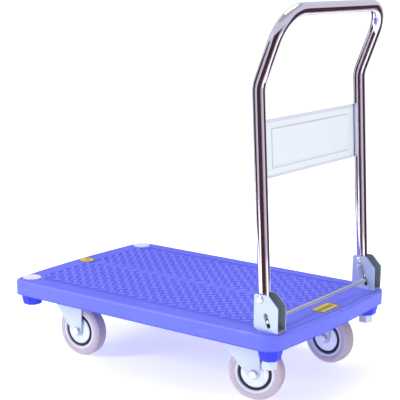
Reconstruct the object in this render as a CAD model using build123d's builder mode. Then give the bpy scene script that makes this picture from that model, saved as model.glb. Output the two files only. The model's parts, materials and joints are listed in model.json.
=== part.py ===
from build123d import *
from math import asin, atan2, cos, degrees, hypot, radians, sin, tan
import os

# Folding platform cart, in millimetres.
# +Z is up, +X points to the handle end, and the origin is on the floor under the deck's middle.

# ---------------------------------------------------------------- driving dimensions
# Deck moulding
deck_length = 740.0
deck_width = 480.0
deck_end_bow = 10.5  # how far each end curves out at its middle
deck_corner_r = 34.0
rim_height = 32.0  # from the skirt's lower edge to the outer top edge
plateau_rise = 3.0  # the load surface stands this much above the outer top edge
plateau_inset = 6.0
plateau_slope = 3.5  # width of the sloping band round the load surface
deck_wall = 4.5
deck_skin = 7.0
rim_edge_r = 4.0
rib_thickness = 3.0
rib_pitch = 60.0
rib_depth = 16.0

# Textured field on the load surface
field_depth = 1.0
field_front_border = 52.0
field_rear_border = 70.0
field_side_border = 40.0
field_corner_r = 10.0
centre_strip_width = 18.0
centre_strip_gap = 6.0

# Corner bosses, which take the brackets' studs
boss_end_inset = 41.0
boss_side_inset = 37.5
boss_drop = 26.5
boss_top_r = 28.0
boss_foot_r = 22.5
boss_foot_chamfer = 2.5
stud_hole_r = 10.5

# Plugs and labels
plug_r = 21.0
plug_height = 1.6
plug_spigot_r = 16.0
plug_spigot_depth = 8.0
label_thickness = 0.5
round_label_r = 20.0
round_label_inset = 31.0
end_label_length = 34.0
end_label_width = 75.0
end_label_inset = 34.0
end_label_offset = 4.0
label_corner_r = 3.0

# Wheels
wheel_d = 120.0
tyre_width = 34.0
tyre_thickness = 16.0
tyre_shoulder_r = 8.0
rim_half_width = 16.0
rim_lip = 6.0
web_thickness = 8.0
hub_r = 19.0
bearing_r = 15.0
bearing_width = 9.0
cover_r = 31.0
cover_dome = 3.8
cover_thickness = 1.3
axle_d = 10.0
axle_sleeve_wall = 3.0
axle_hex = 17.0
axle_head = 6.4
axle_nut_height = 8.0

# Casters
fork_sheet = 3.0
fork_inner_width = 39.0
fork_bend_r = 6.0
fork_tip_r = 13.0
fork_reach = 62.0  # how far the sloping edge reaches behind the axle
fork_slope_height = 51.0
crown_gap = 16.0  # between the tyre and the crown
race_height = 11.0
race_r = 28.0
caster_plate = 3.0
caster_plate_length = 105.0
caster_plate_width = 85.0
caster_plate_corner_r = 8.0
plate_bolt_pitch_x = 80.0
plate_bolt_pitch_y = 68.0
plate_bolt_d = 8.0
plate_bolt_hex = 13.0
plate_bolt_head = 5.3
plate_bolt_grip = 12.0
trail = 35.0  # swivel axis to axle
king_pin_d = 11.0
rear_caster_inset = 141.0  # swivel axis from the deck's end
rear_caster_side = 84.0  # swivel axis from the deck's long side
front_axle_inset = 152.0
front_axle_side = 90.0
rigid_plate_offset = 27.0
rear_left_turn = 14.0  # how each swivel caster stands at rest, in degrees
rear_right_turn = -5.0

# Folding handle
tube_d = 25.4
tube_wall = 1.5
post_lean = 3.3  # degrees towards the front
pivot_height = 64.5  # above the load surface
pivot_end_inset = 56.5
heel_drop = 40.5  # tube below the pivot
kink_length = 424.0  # tube from the pivot to the bend
upper_length = 159.3
upper_lean = 20.8  # degrees towards the rear
kink_bend_r = 60.0
rail_bend_r = 65.0

# Sheet panel between the posts
panel_start = 236.5  # along the post from the pivot
panel_height = 118.0
panel_sheet = 1.2
panel_set_back = 5.0
panel_flat_inset = 30.5  # where the flat ends, from the post's middle
panel_wrap_angle = 50.0
panel_hem = 6.0
panel_frame_end_margin = 18.0  # from the flat's end to the pressed frame
panel_frame_edge_margin = 19.5  # from the panel's upper and lower edges to the frame
panel_frame_line = 2.5
panel_frame_depth = 1.0
panel_frame_r = 5.0
panel_rivet_r = 2.4

# Hinge brackets
bracket_sheet = 2.5
bracket_play = 0.8  # between the tube and each side plate
bracket_base = 3.0
bracket_height = 75.0
bracket_length = 56.5
bracket_wall_clearance = 0.5
bracket_wall_height = 48.0
bracket_nose_x = 34.0  # the upper rear corner is cut off from here
bracket_nose_drop = 23.0
bracket_toe_r = 12.0
bracket_head_r = 5.0
stud_d = 20.0
stud_nut_hex = 30.0
stud_nut_height = 18.0
stud_end_margin = 1.0
pivot_pin_d = 8.0
pivot_head_r = 7.75
pivot_head_height = 4.0
bush_r = 6.0
running_clearance = 0.05
body_gap = 0.4  # between pieces that move past each other

# Release bar and its return springs
bar_d = 8.0
bar_heel_gap = 0.6
bar_angle = 22.25  # from straight below the pivot, in degrees
slot_width = 8.8
slot_angle = 19.5  # the slots' lower end leans to the rear
slot_up = 13.7
slot_down = 8.8
collar_r = 6.0
collar_width = 3.0
collar_inset = 12.0
spring_r = 4.2
spring_stand_off = 5.0
anchor_pin_d = 5.0
anchor_offset_x = 5.0
anchor_drop = 9.5
anchor_pin_length = 10.5
anchor_head_r = 4.0
anchor_head_height = 1.5

# ---------------------------------------------------------------- heights and places that follow
wheel_r = wheel_d / 2
crown_under = wheel_d + crown_gap
crown_top = crown_under + fork_sheet
plate_under = crown_top + race_height
pad_face = plate_under + caster_plate
rim_under = pad_face - 12.0
rim_top = rim_under + rim_height
deck_top = rim_top + plateau_rise
skin_under = deck_top - deck_skin
boss_under = rim_under - boss_drop

boss_x = deck_length / 2 - boss_end_inset
boss_y = deck_width / 2 - boss_side_inset
rear_axis_x = deck_length / 2 - rear_caster_inset
rear_axis_y = deck_width / 2 - rear_caster_side
front_axle_x = -(deck_length / 2 - front_axle_inset)
front_axle_y = deck_width / 2 - front_axle_side

tube_r = tube_d / 2
pivot_x = deck_length / 2 - pivot_end_inset
pivot_z = deck_top + pivot_height
lean = radians(post_lean)
post_dir = Vector(-sin(lean), 0, cos(lean))
post_front = Vector(cos(lean), 0, sin(lean))  # square to the post, towards the rear end
upper_dir = Vector(sin(radians(upper_lean)), 0, cos(radians(upper_lean)))
left_pivot = Vector(pivot_x, -boss_y, pivot_z)
right_pivot = Vector(pivot_x, boss_y, pivot_z)
heel_sweep = hypot(heel_drop, tube_r)
bar_reach = heel_sweep + bar_d / 2 + bar_heel_gap
bar_x = pivot_x + bar_reach * sin(radians(bar_angle))
bar_z = pivot_z - bar_reach * cos(radians(bar_angle))
slot_dir = Vector(sin(radians(slot_angle)), 0, -cos(radians(slot_angle)))
bracket_half = tube_r + bracket_play + bracket_sheet
inner_half = bracket_half - bracket_sheet
wall_top = deck_top + bracket_wall_height
wall_face = pivot_x + (pivot_z - wall_top) * tan(lean) - tube_r / cos(lean) - bracket_wall_clearance
bracket_front = wall_face - bracket_sheet
bracket_rear = bracket_front + bracket_length

casters = {
    "front_left": (front_axle_x, -front_axle_y, 0.0),
    "front_right": (front_axle_x, front_axle_y, 0.0),
    "rear_left": (
        rear_axis_x + trail * cos(radians(rear_left_turn)),
        -rear_axis_y + trail * sin(radians(rear_left_turn)),
        rear_left_turn,
    ),
    "rear_right": (
        rear_axis_x + trail * cos(radians(rear_right_turn)),
        rear_axis_y + trail * sin(radians(rear_right_turn)),
        rear_right_turn,
    ),
}
swivel_axes = {"rear_left": (rear_axis_x, -rear_axis_y), "rear_right": (rear_axis_x, rear_axis_y)}
plate_centres = {
    "front_left": (front_axle_x - rigid_plate_offset, -front_axle_y, 0.0),
    "front_right": (front_axle_x - rigid_plate_offset, front_axle_y, 0.0),
    "rear_left": (rear_axis_x, -rear_axis_y, 0.0),
    "rear_right": (rear_axis_x, rear_axis_y, 0.0),
}

os.makedirs("parts", exist_ok=True)


def write(builder, name):
    """Label one finished piece and write its STEP file."""
    builder.part.label = name
    export_step(builder.part, f"parts/{name}.step")


# ---------------------------------------------------------------- shared outlines and planes
def deck_outline(inset):
    """The platform's outline pulled in by inset: straight sides, bowed ends, round corners."""
    corner_x = deck_length / 2 - deck_end_bow - inset
    middle_x = deck_length / 2 - inset
    side_y = deck_width / 2 - inset
    with BuildSketch() as outline:
        with BuildLine():
            Line((-corner_x, -side_y), (corner_x, -side_y))
            ThreePointArc((corner_x, -side_y), (middle_x, 0), (corner_x, side_y))
            Line((corner_x, side_y), (-corner_x, side_y))
            ThreePointArc((-corner_x, side_y), (-middle_x, 0), (-corner_x, -side_y))
        make_face()
        fillet(outline.vertices(), radius=deck_corner_r - inset)
    return outline.sketch


def field_outline():
    """The textured field: a rectangle that leaves room for the plugs, split by a smooth strip."""
    front_x = -(deck_length / 2 - field_front_border)
    rear_x = deck_length / 2 - field_rear_border
    half_y = deck_width / 2 - field_side_border
    with BuildSketch() as field:
        with Locations(((front_x + rear_x) / 2, 0)):
            Rectangle(rear_x - front_x, 2 * half_y)
        fillet(field.vertices(), radius=field_corner_r)
        with Locations((-boss_x, -boss_y), (-boss_x, boss_y)):
            Circle(plug_r + 2 * centre_strip_gap, mode=Mode.SUBTRACT)
        with Locations(((front_x + rear_x) / 2, 0)):
            Rectangle(rear_x - front_x - 2 * centre_strip_gap, centre_strip_width, mode=Mode.SUBTRACT)
    return field.sketch


def section_plane(x, y, turn):
    """Upright plane through a wheel's middle: local X runs along the axle, local Y is up."""
    a = radians(turn)
    return Plane(origin=(x, y, wheel_r), x_dir=(-sin(a), cos(a), 0), z_dir=(cos(a), sin(a), 0))


def side_plane(x, y, turn):
    """Upright plane through a wheel's middle, square to the axle: local X points along the trail."""
    a = radians(turn)
    return Plane(origin=(x, y, wheel_r), x_dir=(cos(a), sin(a), 0), z_dir=(sin(a), -cos(a), 0))


def axle_line(x, y, turn):
    """The axle's axis."""
    a = radians(turn)
    return Axis((x, y, wheel_r), (-sin(a), cos(a), 0))


# ---------------------------------------------------------------- deck
with BuildPart() as deck:
    with BuildSketch(Plane.XY.offset(rim_under)):
        add(deck_outline(0))
    extrude(amount=rim_height)
    fillet(deck.faces().sort_by(Axis.Z)[-1].edges(), radius=rim_edge_r)
    # Load surface, stepped up by a sloping band
    with BuildSketch(Plane.XY.offset(rim_top)):
        add(deck_outline(plateau_inset))
    extrude(amount=plateau_rise, taper=degrees(atan2(plateau_slope, plateau_rise)))
    # Hollow underside
    with BuildSketch(Plane.XY.offset(rim_under)):
        add(deck_outline(deck_wall))
    extrude(amount=skin_under - rim_under, mode=Mode.SUBTRACT)
    # Ribs in both directions
    with BuildSketch(Plane.XY.offset(skin_under - rib_depth)):
        with GridLocations(rib_pitch, 1, int(deck_length / rib_pitch), 1):
            Rectangle(rib_thickness, deck_width)
        with GridLocations(1, rib_pitch, 1, int(deck_width / rib_pitch)):
            Rectangle(deck_length, rib_thickness)
        add(deck_outline(deck_wall / 2), mode=Mode.INTERSECT)
    extrude(amount=rib_depth)
    # Solid pads over the casters
    for pad_x, pad_y, pad_turn in plate_centres.values():
        with BuildSketch(Plane.XY.offset(pad_face)):
            with Locations((pad_x, pad_y)):
                RectangleRounded(caster_plate_length + 10, caster_plate_width + 10, caster_plate_corner_r)
        extrude(amount=skin_under - pad_face)
    # Corner bosses: an eight-sided cup that tapers below the rim
    for side_x in (-1, 1):
        for side_y in (-1, 1):
            with BuildSketch(Plane.XY.offset(rim_under)):
                with Locations((side_x * boss_x, side_y * boss_y)):
                    RegularPolygon(boss_top_r, 8, rotation=22.5)
            extrude(amount=skin_under - rim_under)
            with BuildSketch(Plane.XY.offset(rim_under)):
                with Locations((side_x * boss_x, side_y * boss_y)):
                    RegularPolygon(boss_top_r, 8, rotation=22.5)
            with BuildSketch(Plane.XY.offset(boss_under + boss_foot_chamfer)):
                with Locations((side_x * boss_x, side_y * boss_y)):
                    RegularPolygon(boss_foot_r, 8, rotation=22.5)
            loft()
            with BuildSketch(Plane.XY.offset(boss_under + boss_foot_chamfer)):
                with Locations((side_x * boss_x, side_y * boss_y)):
                    RegularPolygon(boss_foot_r, 8, rotation=22.5)
            with BuildSketch(Plane.XY.offset(boss_under)):
                with Locations((side_x * boss_x, side_y * boss_y)):
                    RegularPolygon(boss_foot_r - boss_foot_chamfer, 8, rotation=22.5)
            loft()
    # Through holes for the studs, with seats for the plugs at the front
    with BuildSketch(Plane.XY.offset(deck_top)):
        with Locations((-boss_x, -boss_y), (-boss_x, boss_y), (boss_x, -boss_y), (boss_x, boss_y)):
            Circle(stud_hole_r)
    extrude(amount=boss_under - deck_top, mode=Mode.SUBTRACT)
    with BuildSketch(Plane.XY.offset(deck_top)):
        with Locations((-boss_x, -boss_y), (-boss_x, boss_y)):
            Circle(plug_spigot_r)
    extrude(amount=-plug_spigot_depth, mode=Mode.SUBTRACT)
    # Bolt holes in the caster pads
    for pad_x, pad_y, pad_turn in plate_centres.values():
        with BuildSketch(Plane.XY.offset(pad_face)):
            with Locations((pad_x, pad_y)):
                with GridLocations(plate_bolt_pitch_x, plate_bolt_pitch_y, 2, 2):
                    Circle(plate_bolt_d / 2)
        extrude(amount=plate_bolt_grip, mode=Mode.SUBTRACT)
    # Sunken floor of the textured field
    with BuildSketch(Plane.XY.offset(deck_top)):
        add(field_outline())
    extrude(amount=-field_depth, mode=Mode.SUBTRACT)
write(deck, "deck")

with BuildPart() as plugs:
    with BuildSketch(Plane.XY.offset(deck_top)):
        with Locations((-boss_x, -boss_y), (-boss_x, boss_y)):
            Circle(plug_r)
    extrude(amount=plug_height)
    chamfer(plugs.faces().group_by(Axis.Z)[-1].edges(), length=plug_height / 2)
    with BuildSketch(Plane.XY.offset(deck_top)):
        with Locations((-boss_x, -boss_y), (-boss_x, boss_y)):
            Circle(plug_spigot_r)
    extrude(amount=-plug_spigot_depth)
write(plugs, "plugs")

with BuildPart() as round_label:
    with BuildSketch(Plane.XY.offset(deck_top)):
        with Locations((-(deck_length / 2 - round_label_inset), 0)):
            Circle(round_label_r)
    extrude(amount=label_thickness)
    # The field is lower than the border, so the label's inner edge is trimmed to the border
    with BuildSketch(Plane.XY.offset(deck_top)):
        add(field_outline())
    extrude(amount=label_thickness, mode=Mode.SUBTRACT)
write(round_label, "round_label")

with BuildPart() as end_label:
    with BuildSketch(Plane.XY.offset(deck_top)):
        with Locations((deck_length / 2 - end_label_inset, end_label_offset)):
            RectangleRounded(end_label_length, end_label_width, label_corner_r)
    extrude(amount=label_thickness)
write(end_label, "end_label")


# ---------------------------------------------------------------- casters
def fork_side_outline(top):
    """Side view of a fork leg: upright rear edge, round tip at the axle, sloping front edge."""
    corner = Vector(-fork_reach, fork_slope_height)
    reach = hypot(corner.X, corner.Y)
    tangent_angle = atan2(-corner.Y, -corner.X) - asin(fork_tip_r / reach)
    tangent_length = (reach**2 - fork_tip_r**2) ** 0.5
    tangent = corner + Vector(cos(tangent_angle), sin(tangent_angle)) * tangent_length
    mid_angle = atan2(tangent.Y, tangent.X) / 2
    mid = Vector(cos(mid_angle), sin(mid_angle)) * fork_tip_r
    with BuildSketch() as outline:
        with BuildLine():
            Line((fork_tip_r, top), (fork_tip_r, 0))
            ThreePointArc((fork_tip_r, 0), mid, tangent)
            Line(tangent, corner)
            Line(corner, (-fork_reach, top))
            Line((-fork_reach, top), (fork_tip_r, top))
        make_face()
    return outline.sketch


def make_fork(name, x, y, turn, top_z):
    """A pressed steel fork: two legs joined by a crown, with axle holes."""
    half = fork_inner_width / 2 + fork_sheet
    top = top_z - wheel_r
    side = side_plane(x, y, turn)
    section = section_plane(x, y, turn)
    with BuildPart() as fork:
        with BuildSketch(side):
            add(fork_side_outline(top))
        extrude(amount=half, both=True)
        # Seen along the trail the sheet is an upside-down U with round bends
        with BuildSketch(section) as channel:
            with Locations((0, top - wheel_d)):
                Rectangle(2 * half, 2 * wheel_d)
            fillet(channel.vertices().group_by(Axis.Y)[-1], radius=fork_bend_r)
        extrude(amount=wheel_d, both=True, mode=Mode.INTERSECT)
        with BuildSketch(section) as gap:
            with Locations((0, top - fork_sheet - wheel_d)):
                Rectangle(2 * half - 2 * fork_sheet, 2 * wheel_d)
            fillet(gap.vertices().group_by(Axis.Y)[-1], radius=fork_bend_r - fork_sheet)
        extrude(amount=wheel_d, both=True, mode=Mode.SUBTRACT)
        with BuildSketch(side):
            Circle(axle_d / 2 + running_clearance)
        extrude(amount=wheel_d, both=True, mode=Mode.SUBTRACT)
        if name in swivel_axes:
            with BuildSketch(Plane.XY.offset(crown_under)):
                with Locations(swivel_axes[name]):
                    Circle(king_pin_d / 2 + running_clearance)
            extrude(amount=fork_sheet, mode=Mode.SUBTRACT)
        else:
            add_plate(name)
    write(fork, f"{name}_fork")


def add_plate(name):
    """Extrude a bolted top plate into the part being built."""
    plate_x, plate_y, plate_turn = plate_centres[name]
    add(plate_solid(plate_x, plate_y))


def plate_solid(plate_x, plate_y):
    """A caster's top plate with its four bolt holes."""
    with BuildPart() as plate:
        with BuildSketch(Plane.XY.offset(plate_under)):
            with Locations((plate_x, plate_y)):
                RectangleRounded(caster_plate_length, caster_plate_width, caster_plate_corner_r)
                with GridLocations(plate_bolt_pitch_x, plate_bolt_pitch_y, 2, 2):
                    Circle(plate_bolt_d / 2, mode=Mode.SUBTRACT)
        extrude(amount=caster_plate)
    return plate.part


def make_wheel(name, x, y, turn):
    """Tyre, core, bearings, seals and covers of one wheel, as solids turned about the axle."""
    section = section_plane(x, y, turn)
    axle = axle_line(x, y, turn)
    tread_r = wheel_r
    seat_r = wheel_r - tyre_thickness
    bore_r = axle_d / 2 + running_clearance + axle_sleeve_wall + running_clearance
    hub_half = rim_half_width + 1
    with BuildPart() as tyre:
        with BuildSketch(section) as tyre_profile:
            with Locations((0, (tread_r + seat_r) / 2)):
                Rectangle(tyre_width, tyre_thickness)
            fillet(tyre_profile.vertices().group_by(Axis.Y)[-1], radius=tyre_shoulder_r)
        revolve(axis=axle)
    write(tyre, f"{name}_tyre")

    with BuildPart() as core:
        with BuildSketch(section):
            with Locations((0, seat_r - rim_lip / 2)):
                Rectangle(2 * rim_half_width, rim_lip)
            with Locations((0, (seat_r + hub_r) / 2 - rim_lip / 2)):
                Rectangle(web_thickness, seat_r - hub_r)
            with Locations((0, (hub_r + bore_r + 1) / 2)):
                Rectangle(2 * hub_half, hub_r - bore_r - 1)
            for end in (-1, 1):
                with Locations((end * (hub_half - bearing_width / 2), bearing_r / 2)):
                    Rectangle(bearing_width, bearing_r, mode=Mode.SUBTRACT)
        revolve(axis=axle)
    write(core, f"{name}_wheel_core")

    with BuildPart() as bearings:
        with BuildSketch(section):
            for end in (-1, 1):
                with Locations((end * (hub_half - bearing_width / 2), (bearing_r + bore_r) / 2)):
                    Rectangle(bearing_width, bearing_r - bore_r)
        revolve(axis=axle)
    write(bearings, f"{name}_bearings")

    cover_edge = rim_half_width - 1.5
    cover_peak = hub_half + 0.1 + cover_thickness
    with BuildPart() as covers:
        with BuildSketch(section):
            for end in (-1, 1):
                with BuildLine():
                    Polyline(
                        (end * (cover_edge - cover_thickness), cover_r),
                        (end * cover_edge, cover_r),
                        (end * cover_peak, hub_r - 2),
                        (end * cover_peak, bore_r + body_gap),
                        (end * (cover_peak - cover_thickness), bore_r + body_gap),
                        (end * (cover_peak - cover_thickness), hub_r),
                        close=True,
                    )
                make_face()
        revolve(axis=axle)
    write(covers, f"{name}_hub_covers")

    ring_outer = seat_r - rim_lip
    with BuildPart() as seals:
        with BuildSketch(section):
            for end in (-1, 1):
                with Locations((end * (cover_edge - 1.5), (ring_outer + cover_r) / 2)):
                    Rectangle(3.6, ring_outer - cover_r)
        revolve(axis=axle)
    write(seals, f"{name}_seal_rings")


def make_axle(name, x, y, turn):
    """Axle bolt, nut and spacer sleeve of one caster."""
    side = side_plane(x, y, turn)
    half = fork_inner_width / 2 + fork_sheet
    shank_r = axle_d / 2
    with BuildPart() as sleeve:
        with BuildSketch(side):
            Circle(shank_r + running_clearance + axle_sleeve_wall)
            Circle(shank_r + running_clearance, mode=Mode.SUBTRACT)
        extrude(amount=fork_inner_width / 2, both=True)
    write(sleeve, f"{name}_axle_sleeve")

    with BuildPart() as bolt:
        with BuildSketch(side.offset(half)):
            RegularPolygon(axle_hex / 2, 6, major_radius=False)
        extrude(amount=axle_head)
        chamfer(bolt.faces().sort_by(Axis(side.origin, side.z_dir))[-1].edges(), length=0.8)
        with BuildSketch(side.offset(half)):
            Circle(shank_r)
        extrude(amount=-(2 * half + axle_nut_height + 2))
    write(bolt, f"{name}_axle_bolt")

    with BuildPart() as nut:
        with BuildSketch(side.offset(-half)):
            RegularPolygon(axle_hex / 2, 6, major_radius=False)
            Circle(shank_r, mode=Mode.SUBTRACT)
        extrude(amount=-axle_nut_height)
    write(nut, f"{name}_axle_nut")


for caster, (wheel_x, wheel_y, caster_turn) in casters.items():
    fork_top = crown_top if caster in swivel_axes else plate_under
    make_fork(caster, wheel_x, wheel_y, caster_turn, fork_top)
    make_wheel(caster, wheel_x, wheel_y, caster_turn)
    make_axle(caster, wheel_x, wheel_y, caster_turn)

for caster, (axis_x, axis_y) in swivel_axes.items():
    pin_r = king_pin_d / 2
    with BuildPart() as top_plate:
        add(plate_solid(axis_x, axis_y))
        with BuildSketch(Plane.XY.offset(plate_under)):
            with Locations((axis_x, axis_y)):
                Circle(pin_r)
        extrude(amount=caster_plate, mode=Mode.SUBTRACT)
    write(top_plate, f"{caster}_top_plate")

    with BuildPart() as race:
        with BuildSketch(Plane.XY.offset(crown_top + body_gap)):
            with Locations((axis_x, axis_y)):
                Circle(race_r)
                Circle(pin_r, mode=Mode.SUBTRACT)
        extrude(amount=race_height - body_gap)
        fillet(race.edges().filter_by(GeomType.CIRCLE).sort_by(SortBy.RADIUS)[-2:], radius=3.5)
    write(race, f"{caster}_ball_race")

    with BuildPart() as king_pin:
        with BuildSketch(Plane.XY.offset(pad_face)):
            with Locations((axis_x, axis_y)):
                Circle(pin_r)
        extrude(amount=crown_under - body_gap - pad_face)
        with BuildSketch(Plane.XY.offset(crown_under - body_gap)):
            with Locations((axis_x, axis_y)):
                Circle(pin_r + 3.5)
        extrude(amount=-4.6)
    write(king_pin, f"{caster}_king_pin")

with BuildPart() as mount_bolts:
    for plate_x, plate_y, plate_turn in plate_centres.values():
        with BuildSketch(Plane.XY.offset(plate_under)):
            with Locations((plate_x, plate_y)):
                with GridLocations(plate_bolt_pitch_x, plate_bolt_pitch_y, 2, 2):
                    RegularPolygon(plate_bolt_hex / 2, 6, major_radius=False)
        extrude(amount=-plate_bolt_head)
        with BuildSketch(Plane.XY.offset(plate_under)):
            with Locations((plate_x, plate_y)):
                with GridLocations(plate_bolt_pitch_x, plate_bolt_pitch_y, 2, 2):
                    Circle(plate_bolt_d / 2)
        extrude(amount=caster_plate + plate_bolt_grip - 1)
write(mount_bolts, "mount_bolts")


# ---------------------------------------------------------------- hinge brackets
def make_bracket(name, pivot):
    """A folded box open to the rear, welded to the stud that clamps it to the deck."""
    upright = Plane(origin=(0, pivot.Y, 0), x_dir=(1, 0, 0), z_dir=(0, -1, 0))
    top = deck_top + bracket_height
    nose = bracket_front + bracket_nose_x
    with BuildPart() as bracket:
        with BuildSketch(upright) as plate:
            with BuildLine():
                Polyline(
                    (bracket_front, deck_top),
                    (bracket_rear, deck_top),
                    (bracket_rear, top - bracket_nose_drop),
                    (nose, top),
                    (bracket_front, top),
                    close=True,
                )
            make_face()
            fillet(plate.vertices().group_by(Axis.Y)[0].sort_by(Axis.X)[0], radius=bracket_toe_r)
            fillet(plate.vertices().group_by(Axis.Y)[-1].sort_by(Axis.X)[0], radius=bracket_head_r)
        extrude(amount=bracket_half, both=True)
        # Inside, open upwards and to the rear
        with BuildSketch(upright):
            with Locations(((wall_face + bracket_rear + 10) / 2, (deck_top + bracket_base + top + 10) / 2)):
                Rectangle(bracket_rear + 10 - wall_face, top + 10 - deck_top - bracket_base)
        extrude(amount=inner_half, both=True, mode=Mode.SUBTRACT)
        # The front wall stops low enough for the folded tube to lie over it
        with BuildSketch(upright):
            with Locations((wall_face, (wall_top + top + 10) / 2)):
                Rectangle(4 * bracket_sheet, top + 10 - wall_top)
        extrude(amount=inner_half, both=True, mode=Mode.SUBTRACT)
        with BuildSketch(upright):
            with Locations((pivot.X, pivot.Z)):
                Circle(pivot_pin_d / 2)
        extrude(amount=bracket_half, both=True, mode=Mode.SUBTRACT)
        # Slots that guide the release bar
        slot_middle = Vector(bar_x, 0, bar_z) + slot_dir * (slot_down - slot_up) / 2
        with BuildSketch(upright):
            with Locations((slot_middle.X, slot_middle.Z)):
                SlotCenterToCenter(slot_up + slot_down, slot_width, rotation=slot_angle - 90)
        extrude(amount=bracket_half, both=True, mode=Mode.SUBTRACT)
        # Stud through the deck's boss
        with BuildSketch(Plane.XY.offset(deck_top + bracket_base)):
            with Locations((boss_x, pivot.Y)):
                Circle(stud_d / 2)
        extrude(amount=boss_under - stud_nut_height + stud_end_margin - deck_top - bracket_base)
    write(bracket, name)


make_bracket("left_bracket", left_pivot)
make_bracket("right_bracket", right_pivot)

with BuildPart() as bracket_nuts:
    with BuildSketch(Plane.XY.offset(boss_under)):
        with Locations((boss_x, -boss_y), (boss_x, boss_y)):
            RegularPolygon(stud_nut_hex / 2, 6, major_radius=False)
            Circle(stud_d / 2, mode=Mode.SUBTRACT)
    extrude(amount=-stud_nut_height)
write(bracket_nuts, "bracket_nuts")

with BuildPart() as pivot_rivets:
    for pivot in (left_pivot, right_pivot):
        upright = Plane(origin=pivot, x_dir=(1, 0, 0), z_dir=(0, -1, 0))
        with BuildSketch(upright):
            Circle(pivot_pin_d / 2)
        extrude(amount=bracket_half, both=True)
        for side in (-1, 1):
            head_face = upright.offset(side * bracket_half)
            with BuildSketch(head_face):
                Circle(pivot_head_r)
            extrude(amount=side * pivot_head_height, taper=30)
write(pivot_rivets, "pivot_rivets")

# ---------------------------------------------------------------- release bar and springs
bar_half = boss_y + bracket_half
with BuildPart() as release_bar:
    with BuildSketch(Plane(origin=(bar_x, 0, bar_z), x_dir=(1, 0, 0), z_dir=(0, -1, 0))):
        Circle(bar_d / 2)
    extrude(amount=bar_half, both=True)
    chamfer(release_bar.edges().filter_by(GeomType.CIRCLE), length=0.8)
write(release_bar, "release_bar")

with BuildPart() as bar_collars:
    for side in (-1, 1):
        collar_y = side * (boss_y - bracket_half - collar_inset)
        with BuildSketch(Plane(origin=(bar_x, collar_y, bar_z), x_dir=(1, 0, 0), z_dir=(0, -1, 0))):
            Circle(collar_r)
            Circle(bar_d / 2, mode=Mode.SUBTRACT)
        extrude(amount=collar_width / 2, both=True)
write(bar_collars, "bar_collars")

anchor_x = pivot_x + anchor_offset_x
anchor_z = pivot_z - anchor_drop
spring_y = boss_y - bracket_half - spring_stand_off
spring_run = Vector(bar_x - anchor_x, 0, bar_z - anchor_z)
spring_dir = spring_run.normalized()
spring_top_gap = anchor_pin_d / 2 + body_gap
spring_foot_gap = bar_d / 2 + body_gap
with BuildPart() as return_springs:
    for side in (-1, 1):
        spring_top = Vector(anchor_x, side * spring_y, anchor_z) + spring_dir * spring_top_gap
        with BuildSketch(Plane(origin=spring_top, z_dir=spring_dir)):
            Circle(spring_r)
        extrude(amount=spring_run.length - spring_top_gap - spring_foot_gap)
write(return_springs, "return_springs")

with BuildPart() as spring_anchor_pins:
    for side in (-1, 1):
        pin_root = Plane(
            origin=(anchor_x, side * (boss_y - bracket_half), anchor_z), x_dir=(1, 0, 0), z_dir=(0, -side, 0)
        )
        with BuildSketch(pin_root):
            Circle(anchor_pin_d / 2)
        extrude(amount=anchor_pin_length)
        with BuildSketch(pin_root.offset(anchor_pin_length)):
            Circle(anchor_head_r)
        extrude(amount=anchor_head_height)
write(spring_anchor_pins, "spring_anchor_pins")


# ---------------------------------------------------------------- folding handle
def tube_path_points():
    """The handle's corner points: left heel, bend, two rail corners, bend, right heel."""
    one_side = []
    heel = Vector(pivot_x, 0, pivot_z) - post_dir * heel_drop
    kink = Vector(pivot_x, 0, pivot_z) + post_dir * kink_length
    corner = kink + upper_dir * upper_length
    for point in (heel, kink, corner):
        one_side.append(point)
    left = [Vector(point.X, -boss_y, point.Z) for point in one_side]
    right = [Vector(point.X, boss_y, point.Z) for point in reversed(one_side)]
    return left + right


with BuildPart() as handle_tube:
    with BuildLine() as tube_path:
        FilletPolyline(*tube_path_points(), radius=[kink_bend_r, rail_bend_r, rail_bend_r, kink_bend_r])
    with BuildSketch(Plane(origin=tube_path.line @ 0, z_dir=tube_path.line % 0)):
        Circle(tube_r)
        Circle(tube_r - tube_wall, mode=Mode.SUBTRACT)
    sweep()
    # Cross holes for the pivot bushes
    for pivot in (left_pivot, right_pivot):
        with BuildSketch(Plane(origin=pivot, x_dir=(1, 0, 0), z_dir=(0, -1, 0))):
            Circle(bush_r)
        extrude(amount=tube_d, both=True, mode=Mode.SUBTRACT)
write(handle_tube, "handle_tube")

with BuildPart() as pivot_bushes:
    for pivot in (left_pivot, right_pivot):
        with BuildSketch(Plane(origin=pivot, x_dir=(1, 0, 0), z_dir=(0, -1, 0))):
            Circle(bush_r)
            Circle(pivot_pin_d / 2 + running_clearance, mode=Mode.SUBTRACT)
        extrude(amount=inner_half - body_gap, both=True)
write(pivot_bushes, "pivot_bushes")


def panel_side(side, offset):
    """One half of the panel's section: its flat end, the tangent point and the wrap round the tube."""
    wrap_r = tube_r + panel_sheet / 2 + offset
    flat_end = Vector(-panel_set_back - offset, boss_y - panel_flat_inset)
    centre = Vector(0, boss_y)
    to_centre = centre - flat_end
    reach = to_centre.length
    base = atan2(to_centre.X, to_centre.Y)
    slope = base - asin(wrap_r / reach)
    run = (reach**2 - wrap_r**2) ** 0.5
    tangent = flat_end + Vector(sin(slope), cos(slope)) * run
    last = radians(panel_wrap_angle)
    first = atan2(tangent.Y - boss_y, -tangent.X)
    middle = (first + last) / 2
    wrap_middle = Vector(-wrap_r * cos(middle), boss_y + wrap_r * sin(middle))
    wrap_end = Vector(-wrap_r * cos(last), boss_y + wrap_r * sin(last))
    return [Vector(point.X, side * point.Y) for point in (flat_end, tangent, wrap_middle, wrap_end)]


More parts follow.
